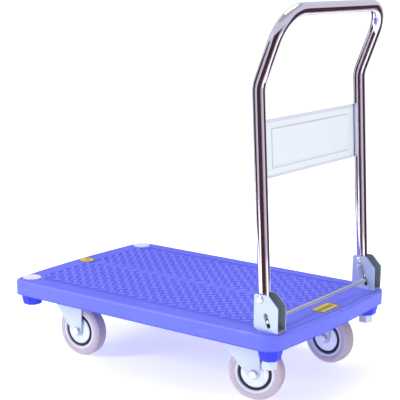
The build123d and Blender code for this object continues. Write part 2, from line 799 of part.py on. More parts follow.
def panel_section():
    """Section of the pressed panel square to the posts: local X to the rear, local Y across."""
    half_sheet = panel_sheet / 2
    with BuildSketch() as section:
        with BuildLine():
            for side in (-1, 1):
                near = panel_side(side, -half_sheet)
                far = panel_side(side, half_sheet)
                for face in (near, far):
                    Line((face[0].X, 0), face[0])
                    Line(face[0], face[1])
                    ThreePointArc(face[1], face[2], face[3])
                Line(near[3], far[3])
        make_face()
    return section.sketch


panel_base = Plane(
    origin=Vector(pivot_x, 0, pivot_z) + post_dir * panel_start, x_dir=post_front, z_dir=post_dir
)
panel_face = -panel_set_back + panel_sheet / 2
with BuildPart() as handle_panel:
    with BuildSketch(panel_base):
        add(panel_section())
    extrude(amount=panel_height)
    # Hems folded back along the top and bottom edges
    hem_half = boss_y - panel_flat_inset
    for hem_height in (0, panel_height - panel_sheet):
        with BuildSketch(panel_base.offset(hem_height)):
            with Locations((panel_face - panel_hem / 2, 0)):
                Rectangle(panel_hem, 2 * hem_half)
        extrude(amount=panel_sheet)
    # Shallow pressed frame in the middle
    face_plane = Plane(
        origin=Vector(pivot_x, 0, pivot_z)
        + post_dir * (panel_start + panel_height / 2)
        + post_front * panel_face,
        x_dir=(0, 1, 0),
        z_dir=post_front,
    )
    frame_length = 2 * (hem_half - panel_frame_end_margin)
    frame_height = panel_height - 2 * panel_frame_edge_margin
    inner_length = frame_length - 2 * panel_frame_line
    inner_height = frame_height - 2 * panel_frame_line
    with BuildSketch(face_plane):
        RectangleRounded(frame_length, frame_height, panel_frame_r)
        RectangleRounded(inner_length, inner_height, panel_frame_r - panel_frame_line, mode=Mode.SUBTRACT)
    extrude(amount=panel_frame_depth)
write(handle_panel, "handle_panel")

with BuildPart() as panel_rivets:
    for side in (-1, 1):
        for height in (panel_height / 5, 4 * panel_height / 5):
            seat = (
                Vector(pivot_x, side * boss_y, pivot_z)
                + post_dir * (panel_start + height)
                - post_front * (tube_r + panel_sheet)
            )
            with BuildSketch(Plane(origin=seat, x_dir=(0, 1, 0), z_dir=-post_front)):
                Circle(2 * panel_rivet_r)
            extrude(amount=1.4, taper=30)
write(panel_rivets, "panel_rivets")
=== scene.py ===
"""Folding platform cart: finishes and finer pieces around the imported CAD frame, in metres."""

import json
from math import pi, radians, tan

import bmesh
import bpy
from mathutils import Matrix, Vector


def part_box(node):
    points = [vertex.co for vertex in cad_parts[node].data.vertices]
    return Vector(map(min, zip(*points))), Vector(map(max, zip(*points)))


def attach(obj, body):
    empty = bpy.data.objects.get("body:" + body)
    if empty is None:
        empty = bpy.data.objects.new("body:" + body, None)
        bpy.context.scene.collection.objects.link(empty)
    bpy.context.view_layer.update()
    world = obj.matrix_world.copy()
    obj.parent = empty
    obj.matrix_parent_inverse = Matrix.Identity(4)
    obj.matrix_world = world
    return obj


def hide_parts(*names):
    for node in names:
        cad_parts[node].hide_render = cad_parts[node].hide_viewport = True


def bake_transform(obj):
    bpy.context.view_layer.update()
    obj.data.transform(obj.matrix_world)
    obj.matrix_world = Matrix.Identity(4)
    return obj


MM = 0.001

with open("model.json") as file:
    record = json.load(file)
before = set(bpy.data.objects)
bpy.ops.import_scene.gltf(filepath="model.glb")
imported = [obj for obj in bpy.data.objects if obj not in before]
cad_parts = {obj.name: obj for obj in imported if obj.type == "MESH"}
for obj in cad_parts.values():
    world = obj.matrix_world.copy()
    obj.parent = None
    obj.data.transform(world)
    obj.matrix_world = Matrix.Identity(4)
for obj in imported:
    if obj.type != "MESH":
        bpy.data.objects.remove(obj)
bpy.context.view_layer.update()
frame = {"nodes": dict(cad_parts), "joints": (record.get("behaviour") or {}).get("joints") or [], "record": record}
joints = {joint["name"]: joint for joint in frame["joints"]}
CORNERS = ("front_left", "front_right", "rear_left", "rear_right")

FIELD_DEPTH = 1.0 * MM  # how far the tread field lies below the deck's top
UNDER_RIM = (0.138, 0.146)  # heights over which painted shade deepens the deck's blue below the rim
BRACKET_PLATE = 2.5 * MM  # thickness
PANEL_FRAME_HALF = Vector((0.154, 0.0395))  # from the panel's middle to its pressed frame line
PANEL_HALF_HEIGHT = 0.059
RIVET_EDGE_SHADE = (0.0062, 0.0076)  # radii between which painted shade darkens a rivet head's edge
TYRE_TREAD = (0.0555, 0.0595)  # radii between which a tyre turns from side to tread
TYRE_SHOULDER = (0.010, 0.0155)  # distances along the axle over which the tread ends
SPRING_BODY_R = 4.2 * MM  # the plain cylinder that a spring stands for
SPRING_COIL_R = 4.1 * MM  # outside of the coil
SPRING_WIRE_R = 0.6 * MM
PIN_RING_R = 3.3 * MM  # to the middle of the wire, so that the ring clears the 2.5 mm radius pin
BAR_RING_R = 4.8 * MM  # the same round the 4 mm radius bar


# ---------------------------------------------------------------- camera, light and floor
def add_camera():
    """A long lens on the operator's left, a little higher than the handle's rail."""
    spot = (1.5569, -2.1397, 0.9015)
    turn, tilt, roll = radians(35.97), radians(-11.37), radians(0.58)
    data = bpy.data.cameras.new("view")
    data.lens = 107.0
    data.sensor_width = 36.0
    data.clip_end = 200.0
    camera = bpy.data.objects.new("view", data)
    bpy.context.scene.collection.objects.link(camera)
    level = Matrix.Rotation(turn, 4, "Z") @ Matrix.Rotation(pi / 2 + tilt, 4, "X")
    camera.matrix_world = Matrix.Translation(spot) @ (level @ Matrix.Rotation(roll, 4, "Z"))
    bpy.context.scene.camera = camera


def add_light(name, spot, target, size, power, tint):
    """A rectangular soft box at spot that faces target."""
    data = bpy.data.lights.new(name, "AREA")
    data.shape = "RECTANGLE"
    data.size, data.size_y = size
    data.energy = power
    data.color = tint
    light = bpy.data.objects.new(name, data)
    bpy.context.scene.collection.objects.link(light)
    aim = (Vector(target) - Vector(spot)).to_track_quat("-Z", "Y")
    light.matrix_world = Matrix.Translation(spot) @ aim.to_matrix().to_4x4()


def add_surroundings():
    """A white floor and wall, soft boxes, and cards that only show in reflections."""
    scene = bpy.context.scene
    scene.view_settings.view_transform = "Standard"
    world = bpy.data.worlds.new("studio")
    scene.world = world
    world.use_nodes = True
    background = world.node_tree.nodes["Background"]
    background.inputs["Color"].default_value = (0.985, 0.99, 1.0, 1.0)
    background.inputs["Strength"].default_value = 0.52

    floor_mesh = bpy.data.meshes.new("floor")
    sheet = bmesh.new()
    bmesh.ops.create_grid(sheet, x_segments=1, y_segments=1, size=60.0)
    sheet.to_mesh(floor_mesh)
    sheet.free()
    floor = bpy.data.objects.new("floor", floor_mesh)
    scene.collection.objects.link(floor)
    finish = Recipe("pale_floor")
    grain = finish.noise(2.5, 3)
    finish.colour(finish.mix(grain, (0.965, 0.97, 0.985), (0.98, 0.982, 0.99)))
    finish.rough(0.75 + grain * 0.1)
    finish.glow(finish.mix(grain, (0.93, 0.94, 1.0), (1.0, 1.0, 1.0)), 0.48)
    floor_mesh.materials.append(finish.material)
    add_backdrop()

    add_light("key", (-1.9, -2.6, 1.7), (0.05, 0, 0.2), (1.0, 0.9), 54, (1.0, 0.99, 0.98))
    add_light("rear_fill", (3.0, -0.4, 1.6), (0.1, 0, 0.3), (1.4, 1.4), 16, (0.97, 0.98, 1.0))
    add_light("top", (-0.6, 0.6, 3.4), (0, 0, 0.2), (2.0, 2.0), 44, (1.0, 1.0, 1.0))
    for quarter in range(4):
        turn = radians(90 * quarter)
        add_card(f"dark_card_{quarter}", turn - radians(54), radians(25), (0.07, 0.03, 0.035))
        add_card(f"grey_card_{quarter}", turn - radians(24), radians(8), (0.42, 0.34, 0.38))
        add_card(f"pale_card_{quarter}", turn, radians(45), (0.1, 0.1, 0.12),
                 radius=2.3, height=3.2, glow=0.72)


def upright_sheet(name, foot_point, height, angle, steps, closed):
    """The mesh of a vertical edge at foot_point, spun about the upright axis."""
    shape = bmesh.new()
    foot = shape.verts.new(foot_point)
    head = shape.verts.new(Vector(foot_point) + Vector((0, 0, height)))
    edge = shape.edges.new((foot, head))
    bmesh.ops.spin(shape, geom=[foot, head, edge], cent=(0, 0, 0), axis=(0, 0, 1), angle=angle,
                   steps=steps, use_merge=closed)
    mesh = bpy.data.meshes.new(name)
    shape.to_mesh(mesh)
    shape.free()
    return mesh


def add_backdrop():
    """A far bright wall all round, seen and reflected, that gives no light."""
    mesh = upright_sheet("backdrop", (55.0, 0, -0.5), 45.5, 2 * pi, 48, True)
    finish = Recipe("bright_wall", specular_ior_level=0.0)
    drift = finish.noise(0.05, 2)
    finish.colour(finish.mix(drift, (0.9, 0.9, 0.92), (0.95, 0.95, 0.96)))
    finish.glow(finish.mix(drift, (0.97, 0.98, 1.0), (1.0, 1.0, 1.0)), 0.95)
    mesh.materials.append(finish.material)
    wall = bpy.data.objects.new("backdrop", mesh)
    bpy.context.scene.collection.objects.link(wall)
    wall.visible_diffuse = False
    wall.visible_shadow = False


def add_card(name, bearing, half_angle, tint, radius=1.25, height=0.86, glow=0.0):
    """A curved upright card round the object that only shows in reflections."""
    first = Matrix.Rotation(bearing - half_angle, 3, "Z") @ Vector((radius, 0, 0))
    mesh = upright_sheet(name, first, height, 2 * half_angle, 24, False)
    finish = Recipe(name, specular_ior_level=0.0)
    cloth = finish.noise(20.0, 3)
    finish.colour(finish.mix(cloth, tint, tuple(0.8 * part for part in tint)))
    finish.rough(0.9 + cloth * 0.05)
    if glow:
        finish.glow(finish.mix(cloth, (0.84, 0.83, 0.95), (0.92, 0.91, 1.0)), glow)
    mesh.materials.append(finish.material)
    card = bpy.data.objects.new(name, mesh)
    bpy.context.scene.collection.objects.link(card)
    card.visible_camera = False
    card.visible_diffuse = False
    card.visible_shadow = False


# ---------------------------------------------------------------- node tools
class Signal:
    """One output socket; arithmetic on signals adds Math nodes."""

    def __init__(self, nodes, socket):
        self.nodes = nodes
        self.socket = socket

    def _maths(self, operation, first, second):
        return self.nodes.node("ShaderNodeMath", {"operation": operation}, {0: first, 1: second})

    def __add__(self, other):
        return self._maths("ADD", self, other)

    __radd__ = __add__

    def __sub__(self, other):
        return self._maths("SUBTRACT", self, other)

    def __rsub__(self, other):
        return self._maths("SUBTRACT", other, self)

    def __mul__(self, other):
        return self._maths("MULTIPLY", self, other)

    __rmul__ = __mul__

    def __truediv__(self, other):
        return self._maths("DIVIDE", self, other)

    def __lt__(self, other):
        return self._maths("LESS_THAN", self, other)

    def __gt__(self, other):
        return self._maths("GREATER_THAN", self, other)

    def wave(self):
        """The sine of the signal."""
        return self._maths("SINE", self, 0.0)

    def size(self):
        """The signal without its sign."""
        return self._maths("ABSOLUTE", self, 0.0)

    def largest(self, other):
        """The larger of two signals."""
        return self._maths("MAXIMUM", self, other)


class Nodes:
    """Adds nodes to one tree."""

    def __init__(self, tree):
        self.tree = tree

    def join(self, socket, value):
        """Link a signal to a socket, or set the socket to a plain value."""
        if isinstance(value, Signal):
            self.tree.links.new(value.socket, socket)
        elif socket.type == "RGBA" and len(value) == 3:
            socket.default_value = (*value, 1.0)
        else:
            socket.default_value = value

    def node(self, kind, settings=None, inputs=None, output=0):
        """Add a node: its settings first, then its inputs; return one output."""
        made = self.tree.nodes.new(kind)
        for key, value in (settings or {}).items():
            setattr(made, key, value)
        for key, value in (inputs or {}).items():
            self.join(made.inputs[key], value)
        return Signal(self, made.outputs[output])

    def mix(self, factor, first, second):
        """Blend two colours."""
        inputs = {0: factor, 6: first, 7: second}
        return self.node("ShaderNodeMix", {"data_type": "RGBA"}, inputs, 2)


class Recipe(Nodes):
    """One material on Object coordinates, with a Principled shader."""

    def __init__(self, name, metallic=0.0, **constants):
        self.material = bpy.data.materials.new(name)
        self.material.use_nodes = True
        super().__init__(self.material.node_tree)
        self.shader = self.tree.nodes["Principled BSDF"]
        self.shader.inputs["Metallic"].default_value = metallic
        for key, value in constants.items():
            socket = key.replace("_", " ").title().replace("Ior", "IOR")
            self.shader.inputs[socket].default_value = value
        self.place = self.node("ShaderNodeTexCoord", output="Object")

    def colour(self, value):
        self.join(self.shader.inputs["Base Color"], value)

    def rough(self, value):
        self.join(self.shader.inputs["Roughness"], value)

    def glow(self, value, strength):
        self.join(self.shader.inputs["Emission Color"], value)
        self.shader.inputs["Emission Strength"].default_value = strength

    def vector(self, operation, first, second=None, output=0):
        """One Vector Math node."""
        inputs = {0: first} if second is None else {0: first, 1: second}
        return self.node("ShaderNodeVectorMath", {"operation": operation}, inputs, output)

    def part(self, vector, axis):
        """One component of a vector: 0, 1 or 2."""
        return self.node("ShaderNodeSeparateXYZ", None, {0: vector}, axis)

    def stretched(self, scale, turn=(0, 0, 0), centre=(0, 0, 0)):
        """Object coordinates moved to centre, turned and scaled along each axis."""
        moved = self.vector("SUBTRACT", self.place, centre)
        inputs = {"Vector": moved, "Rotation": turn, "Scale": scale}
        return self.node("ShaderNodeMapping", None, inputs)

    def noise(self, scale, detail=2, place=None, roughness=0.5):
        inputs = {"Vector": place or self.place, "Scale": scale, "Detail": detail}
        return self.node("ShaderNodeTexNoise", None, {**inputs, "Roughness": roughness}, "Fac")

    def step(self, value, low, high):
        """A smooth step from 0 at low to 1 at high."""
        settings = {"interpolation_type": "SMOOTHSTEP"}
        inputs = {"Value": value, "From Min": low, "From Max": high}
        return self.node("ShaderNodeMapRange", settings, inputs)

    def bump(self, height, distance, under=None):
        """Raise the surface by height times distance."""
        inputs = {"Height": height, "Distance": distance}
        if under:
            inputs["Normal"] = under
        return self.node("ShaderNodeBump", None, inputs, "Normal")

    def relief(self, *layers):
        """Stack bump layers given as (height, distance in metres) onto the shader."""
        normal = None
        for height, distance in layers:
            normal = self.bump(height, distance, under=normal)
        self.join(self.shader.inputs["Normal"], normal)


# ---------------------------------------------------------------- finishes
def moulded_blue(deck_top):
    """Polypropylene deck: satin grain, flow clouds and rubbed patches.

    The blue carries painted shade in the sunken field between the bars and below the rim, and painted highlights
    on the raised bars and the rim's edge, mixed there with rubbed wear.
    """
    finish = Recipe("moulded_blue", specular_ior_level=0.35)
    clouds = finish.noise(5.0, 4)
    grain = finish.noise(900.0, 2)
    rubs = finish.noise(1.0, 5, finish.stretched((14, 60, 60), turn=(0, 0, 0.5)), 0.65)
    rubbed = finish.step(rubs, 0.58, 0.72)
    height = finish.part(finish.place, 2)
    # Painted shade: everything below the rim is darkened to a deeper blue.
    under_rim_shade = 1 - finish.step(height, *UNDER_RIM)
    # Painted shade: the sunken field between the bars is darkened as if shadowed.
    hollow_shade = 1 - finish.step(height, deck_top - FIELD_DEPTH, deck_top + 0.1 * MM)
    hollow_shade = hollow_shade * (height > deck_top - FIELD_DEPTH - 0.2 * MM)
    base = finish.mix(clouds, (0.105, 0.130, 0.86), (0.150, 0.178, 0.95))
    base = finish.mix(rubbed * 0.25, base, (0.30, 0.31, 0.98))
    base = finish.mix(hollow_shade * 0.55, base, (0.06, 0.07, 0.74))
    # Painted highlight: a paler band along the rim's upper edge, stronger where rubbed.
    rim_edge_highlight = finish.step(height, deck_top - 5.5 * MM, deck_top - 4.0 * MM)
    rim_edge_highlight = rim_edge_highlight * (1 - finish.step(height, deck_top - 2.6 * MM, deck_top - 1.6 * MM))
    base = finish.mix(rim_edge_highlight * (0.25 + rubbed * 0.4), base, (0.34, 0.37, 1.0))
    # Painted highlight: the tops of the raised tread bars are paler, stronger where rubbed.
    raised = finish.step(height, deck_top - 0.05 * MM, deck_top + 0.2 * MM)
    base = finish.mix(raised * (0.55 + rubbed * 0.3), base, (0.27, 0.28, 1.0))
    finish.colour(finish.mix(under_rim_shade * (0.84 + clouds * 0.14), base, (0.015, 0.025, 0.78)))
    finish.rough(0.40 + clouds * 0.10 + rubbed * 0.08)
    finish.relief((grain, 0.00012), (clouds, 0.0006))
    return finish.material


def chrome_plate():
    """Bright chrome on drawn tube, with faint smears and drawing lines along it."""
    finish = Recipe("chrome_plate", metallic=1.0)
    smears = finish.noise(14.0, 5, roughness=0.6)
    lines = finish.noise(1.0, 2, finish.stretched((900, 900, 6)))
    finish.colour(finish.mix(smears, (0.79, 0.77, 0.86), (0.70, 0.68, 0.78)))
    finish.rough(0.045 + finish.step(smears, 0.45, 0.75) * 0.08 + lines * 0.02)
    finish.relief((lines, 0.000015))
    return finish.material


def zinc_plate(name, tone, deeper, metallic=0.35):
    """Bright zinc on pressed steel: soft cloudy passivation, rolling lines and small scuffs."""
    finish = Recipe(name, metallic=metallic, specular_ior_level=0.5)
    clouds = finish.noise(28.0, 5, roughness=0.6)
    rolling = finish.noise(1.0, 3, finish.stretched((30, 700, 700)))
    strokes = finish.noise(1.0, 4, finish.stretched((90, 90, 480), turn=(0.4, 0.2, 0.1)))
    scuffs = finish.step(strokes, 0.63, 0.70)
    finish.colour(finish.mix(scuffs * 0.35, finish.mix(clouds, tone, deeper), (0.45, 0.50, 0.56)))
    finish.rough(0.30 + clouds * 0.16 + scuffs * 0.15)
    finish.relief((rolling, 0.00004), (clouds, 0.00012))
    return finish.material


def bracket_zinc(name, middle_y, half):
    """Bright zinc outside; within the fold it is a dull dark grey, painted shade with a mottle."""
    finish = Recipe(name, specular_ior_level=0.5)
    off_middle = (finish.part(finish.place, 1) - middle_y).size()
    # Painted shade: the plates' inner faces are darkened to a mottled slate grey.
    inside_shade = 1 - finish.step(off_middle, half + 0.4 * MM, half + 1.2 * MM)
    clouds = finish.noise(28.0, 5, roughness=0.6)
    shade_mottle = finish.noise(70.0, 4, roughness=0.6)
    rolling = finish.noise(1.0, 3, finish.stretched((700, 700, 30)))
    outer = finish.mix(clouds, (0.56, 0.66, 0.79), (0.46, 0.55, 0.69))
    inner = finish.mix(shade_mottle, (0.165, 0.215, 0.275), (0.28, 0.345, 0.42))
    finish.colour(finish.mix(inside_shade, outer, inner))
    finish.join(finish.shader.inputs["Metallic"], 0.55 - inside_shade * 0.25)
    finish.rough(0.26 + clouds * 0.14 + inside_shade * 0.2)
    finish.relief((rolling, 0.00004), (clouds, 0.00012))
    return finish.material


def panel_sheet(centre, frame_half, half_height):
    """Pale galvanised sheet with painted shade along its pressed frame line and on its folded edges."""
    finish = Recipe("panel_sheet", metallic=0.1, specular_ior_level=0.5)
    offset = finish.vector("SUBTRACT", finish.place, centre)
    along = finish.part(offset, 1).size()
    up = finish.part(offset, 2).size()
    frame_line = (along - frame_half[0]).largest(up - frame_half[1]).size()
    # Painted shade along the pressed frame line.
    line = 1 - finish.step(frame_line, 0.8 * MM, 1.8 * MM)
    # Painted shade on the folded top and bottom edges.
    fold = finish.step(up, half_height - 7.5 * MM, half_height - 5.5 * MM)
    clouds = finish.noise(22.0, 5, roughness=0.6)
    rolling = finish.noise(1.0, 3, finish.stretched((30, 700, 700)))
    sheet = finish.mix(clouds, (0.90, 0.95, 1.0), (0.84, 0.91, 0.99))
    sheet = finish.mix(fold * 0.55, sheet, (0.62, 0.62, 0.76))
    finish.colour(finish.mix(line * 0.6, sheet, (0.46, 0.48, 0.58)))
    finish.rough(0.32 + clouds * 0.16)
    finish.relief((rolling, 0.00004), (clouds, 0.0001))
    return finish.material


def rivet_steel(centre):
    """Polished rivet head, with painted shade where its edge meets the plate."""
    finish = Recipe("rivet_steel", metallic=0.85)
    offset = finish.vector("SUBTRACT", finish.place, centre)
    flat = finish.vector("MULTIPLY", offset, (1, 0, 1))
    reach = finish.vector("LENGTH", flat, output="Value")
    wear = finish.noise(400.0, 4)
    # Painted shade round the rivet head's edge.
    edge = finish.step(reach, *RIVET_EDGE_SHADE)
    bright = finish.mix(wear, (0.93, 0.94, 0.97), (0.80, 0.82, 0.87))
    finish.colour(finish.mix(edge * 0.8, bright, (0.14, 0.15, 0.18)))
    finish.rough(0.16 + wear * 0.16)
    finish.relief((wear, 0.00004))
    return finish.material


def grey_rubber(centre, axle):
    """Non-marking tyre: pale mottled rubber, with painted shade where it rolls, and fine round mould lines."""
    finish = Recipe("grey_rubber", specular_ior_level=0.3)
    offset = finish.vector("SUBTRACT", finish.place, centre)
    reach = finish.vector("LENGTH", offset, output="Value")
    along = finish.vector("DOT_PRODUCT", offset, axle, "Value").size()
    mottle = finish.noise(60.0, 5, roughness=0.6)
    fine = finish.noise(700.0, 2)
    # Painted shade: the rolling face is darkened as if shadowed.
    tread_shade = finish.step(reach, *TYRE_TREAD) * (1 - finish.step(along, *TYRE_SHOULDER))
    base = finish.mix(mottle, (0.60, 0.52, 0.60), (0.50, 0.43, 0.50))
    finish.colour(finish.mix(tread_shade * (0.35 + mottle * 0.5), base, (0.36, 0.29, 0.35)))
    finish.rough(0.55 + mottle * 0.2)
    ring_pitch = 1.6 * MM
    rings = (reach * (2 * pi / ring_pitch)).wave() * (1 - tread_shade)
    finish.relief((rings, 0.00005), (fine, 0.0001), (mottle, 0.0003))
    return finish.material


def nylon_rim():
    """Pale moulded nylon with flow marks."""
    finish = Recipe("nylon_rim", specular_ior_level=0.45)
    flow = finish.noise(40.0, 4)
    finish.colour(finish.mix(flow, (0.74, 0.76, 0.86), (0.66, 0.68, 0.80)))
    finish.rough(0.35 + flow * 0.15)
    finish.relief((finish.noise(800.0, 2), 0.00006))
    return finish.material


def black_ring():
    """Near-black moulded plastic with dust in its grain."""
    finish = Recipe("black_ring", specular_ior_level=0.4)
    dust = finish.noise(220.0, 4)
    dusty = finish.step(dust, 0.5, 0.8)
    finish.colour(finish.mix(dusty, (0.002, 0.003, 0.014), (0.010, 0.012, 0.034)))
    finish.rough(0.35 + dust * 0.25)
    finish.relief((dust, 0.00008))
    return finish.material


def white_plug():
    """Lavender-white moulded plug with a satin grain."""
    finish = Recipe("white_plug", specular_ior_level=0.4)
    flow = finish.noise(70.0, 3)
    finish.colour(finish.mix(flow, (0.80, 0.77, 0.93), (0.72, 0.70, 0.88)))
    finish.rough(0.38 + flow * 0.12)
    finish.relief((finish.noise(900.0, 2), 0.00008))
    return finish.material


def spring_wire():
    """Bright drawn spring wire."""
    finish = Recipe("spring_wire", metallic=0.9)
    streaks = finish.noise(300.0, 4)
    finish.colour(finish.mix(streaks, (0.62, 0.63, 0.68), (0.42, 0.43, 0.48)))
    finish.rough(0.25 + streaks * 0.2)
    return finish.material


def yellow_label(name, centre, half, round_edge):
    """Glossy yellow vinyl with a thin dark border and a few plain marks."""
    finish = Recipe(name, specular_ior_level=0.5, coat_weight=0.3)
    offset = finish.vector("SUBTRACT", finish.place, centre)
    across, along = finish.part(offset, 0), finish.part(offset, 1)
    if round_edge:
        edge = finish.vector("LENGTH", offset, output="Value") / half[0]
        long_bar = (across.size() < half[0] * 0.42) * (along.size() < half[1] * 0.07)
        off_bar = (across - half[0] * 0.12).size()
        mark = long_bar.largest((along.size() < half[1] * 0.30) * (off_bar < half[0] * 0.06))
    else:
        edge = (across.size() / half[0]).largest(along.size() / half[1])
        dash_pitch = 9.5 * MM
        dashes = (along * (2 * pi / dash_pitch)).wave() > -0.35
        mark = dashes * (across.size() < half[0] * 0.36) * (along.size() < half[1] * 0.76)
    border = finish.step(edge, 0.86, 0.89)
    worn = finish.noise(260.0, 5)
    ink = border.largest(mark) * finish.step(worn, 0.25, 0.42)
    vinyl = finish.mix(worn, (0.88, 0.70, 0.11), (0.80, 0.61, 0.07))
    finish.colour(finish.mix(ink * 0.85, vinyl, (0.10, 0.07, 0.03)))
    finish.rough(0.25 + worn * 0.15)
    finish.relief((worn, 0.00003))
    return finish.material


# ---------------------------------------------------------------- mesh tools
def piece(name, shape, body, material, stands_for, smooth):
    """Make an object of a bmesh, ride it on its body and give it its finish.

    stands_for names the CAD nodes that it replaces; edges sharper than smooth degrees stay crisp.
    """
    mesh = bpy.data.meshes.new(name)
    shape.to_mesh(mesh)
    shape.free()
    mesh.materials.append(material)
    made = bpy.data.objects.new(name, mesh)
    bpy.context.scene.collection.objects.link(made)
    mesh.shade_smooth()
    mesh.set_sharp_from_angle(angle=radians(smooth))
    if body:
        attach(made, body)
    if stands_for:
        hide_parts(*stands_for)
    return made


def rounded(points, bend_mm, steps):
    """A closed outline with its corners rounded into arcs.

    A point is (along the axle, radius) in millimetres, with its own bend radius as a third number
    where that isn't bend_mm.
    """
    corners = [Vector((point[0] * MM, point[1] * MM)) for point in points]
    outline = []
    for index, point in enumerate(points):
        here = corners[index]
        before = corners[index - 1] - here
        after = corners[(index + 1) % len(corners)] - here
        bend = (point[2] if len(point) == 3 else bend_mm) * MM
        turn = before.angle(after)
        reach = min(bend / tan(turn / 2), before.length * 0.49, after.length * 0.49)
        first = here + before.normalized() * reach
        last = here + after.normalized() * reach
        for step in range(steps + 1):
            share = step / steps
            outline.append(first.lerp(here, share).lerp(here.lerp(last, share), share))
    return outline


def turned(profile, centre, axle):
    """Spin a closed outline of (along the axle, radius) about an axle through centre."""
    shape = bmesh.new()
    axle = Vector(axle).normalized()
    up = Vector((0, 0, 1))
    ring = [shape.verts.new(Vector(centre) + axle * point.x + up * point.y) for point in profile]
    edges = [shape.edges.new((ring[index - 1], ring[index])) for index in range(len(ring))]
    bmesh.ops.spin(shape, geom=ring + edges, cent=centre, axis=axle, angle=2 * pi, steps=96,
                   use_merge=True)
    bmesh.ops.remove_doubles(shape, verts=shape.verts[:], dist=1e-6)
    bmesh.ops.recalc_face_normals(shape, faces=shape.faces[:])
    return shape


def softened(node, width, body, material, angle=35, segments=2):
    """A merged copy of a CAD node with its sharp edges rounded by width, to stand for it."""
    shape = bmesh.new()
    shape.from_mesh(frame["nodes"][node].data)
    bmesh.ops.remove_doubles(shape, verts=shape.verts[:], dist=1e-6)
    bmesh.ops.dissolve_limit(shape, angle_limit=radians(1.0), verts=shape.verts[:],
                             edges=shape.edges[:])
    made = piece(node + "_finished", shape, body, material, (node,), angle)
    edge = made.modifiers.new("rounded_edges", "BEVEL")
    edge.width = width
    edge.segments = segments
    edge.limit_method = "ANGLE"
    edge.angle_limit = radians(angle)
    edge.harden_normals = True
    return made


def middle(node):
    """Centre of a CAD node's box."""
    low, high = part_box(node)
    return (Vector(low) + Vector(high)) / 2


def half_size(node):
    """Half the size of a CAD node's box along each axis."""
    low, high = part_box(node)
    return (Vector(high) - Vector(low)) / 2


def refinish(node, material):
    """Give a CAD node one material of its own."""
    materials = frame["nodes"][node].data.materials
    materials.clear()
    materials.append(material)


# ---------------------------------------------------------------- build
add_camera()
add_surroundings()

BLUE = moulded_blue(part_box("deck")[1][2])
CHROME = chrome_plate()
ZINC = zinc_plate("zinc_plate", (0.62, 0.70, 0.81), (0.53, 0.61, 0.73))
COVER_ZINC = zinc_plate("cover_zinc", (0.80, 0.85, 0.97), (0.68, 0.74, 0.88), 0.7)
PANEL = panel_sheet(middle("handle_panel"), PANEL_FRAME_HALF, PANEL_HALF_HEIGHT)
BAR_STEEL = zinc_plate("bar_steel", (0.74, 0.77, 0.83), (0.60, 0.62, 0.69), 0.9)
BOLT_ZINC = zinc_plate("bolt_zinc", (0.84, 0.84, 0.88), (0.62, 0.61, 0.66), 0.95)
NYLON = nylon_rim()
BLACK = black_ring()
WHITE = white_plug()
WIRE = spring_wire()

BY_SLOT = {
    "deck_plastic": BLUE,
    "plug_white": WHITE,
    "zinc_steel": ZINC,
    "chrome_tube": CHROME,
    "panel_steel": PANEL,
    "hub_grey": NYLON,
    "cover_zinc": COVER_ZINC,
    "black_seal": BLACK,
    "spring_steel": WIRE,
}
slots = {part["node"]: part["material_slot"] for part in frame["record"]["subparts"]}
for node in frame["nodes"]:
    if slots[node] in BY_SLOT:
        refinish(node, BY_SLOT[slots[node]])
refinish("release_bar", BAR_STEEL)


# ---------------------------------------------------------------- deck and its tread
softened("deck", 0.7 * MM, "root", BLUE, angle=30)


def tread_bar(length, width, height):
    """One raised bar with sloping sides and rounded top edges."""
    shape = bmesh.new()
    bmesh.ops.create_cube(shape, size=1.0)
    bmesh.ops.scale(shape, vec=(length, width, height), verts=shape.verts[:])
    top = [vert for vert in shape.verts if vert.co.z > 0]
    taper = ((length - height) / length, (width - height) / width, 1)
    bmesh.ops.scale(shape, vec=taper, verts=top)
    upper = [edge for edge in shape.edges if all(vert.co.z > 0 for vert in edge.verts)]
    bmesh.ops.bevel(shape, geom=upper, offset=height * 0.35, segments=1, affect="EDGES",
                    profile=0.5, material=-1)
    under = [face for face in shape.faces if face.normal.z < -0.9]
    bmesh.ops.delete(shape, geom=under, context="FACES_ONLY")
    mesh = bpy.data.meshes.new("tread_bar")
    shape.to_mesh(mesh)
    shape.free()
    return mesh


def deck_tread():
    """Short bars in a basket pattern over the sunken field, clear of the strip and the plugs."""
    deck_low, deck_high = (Vector(corner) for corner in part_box("deck"))
    field_floor = deck_high.z - FIELD_DEPTH
    front, rear = deck_low.x + 52 * MM, deck_high.x - 70 * MM
    side = deck_high.y - 40 * MM
    pitch = 13.8 * MM
    margin = 7.5 * MM
    strip_half = 9 * MM
    plug_clearance = 40 * MM
    sunk = 0.05 * MM  # the bars' feet go this far below the field
    bar_height = 1.3 * MM
    bar = tread_bar(19.5 * MM, 8.2 * MM, bar_height)
    bar_centre_z = field_floor + bar_height / 2 - sunk
    plug_centres = [Vector((deck_low.x + 41 * MM, plug_y)) for plug_y in (-0.2025, 0.2025)]
    shape = bmesh.new()
    across = int(side / pitch)
    along = int((rear - front) / pitch)
    for column in range(along + 1):
        for row in range(-across, across + 1):
            spot = Vector((front + margin + column * pitch, row * pitch))
            if (column + row) % 2 or spot.x > rear - margin or abs(spot.y) > side - margin:
                continue
            if abs(spot.y) < strip_half + margin * 0.6:
                continue
            if min((spot - centre).length for centre in plug_centres) < plug_clearance:
                continue
            seen = len(shape.verts)
            shape.from_mesh(bar)
            shape.verts.ensure_lookup_table()
            turn = pi / 4 if column % 2 else -pi / 4
            place = Matrix.Translation((spot.x, spot.y, bar_centre_z))
            place = place @ Matrix.Rotation(turn, 4, "Z")
            bmesh.ops.transform(shape, matrix=place, verts=shape.verts[seen:])
    bpy.data.meshes.remove(bar)
    piece("deck_tread", shape, "root", BLUE, (), 20)


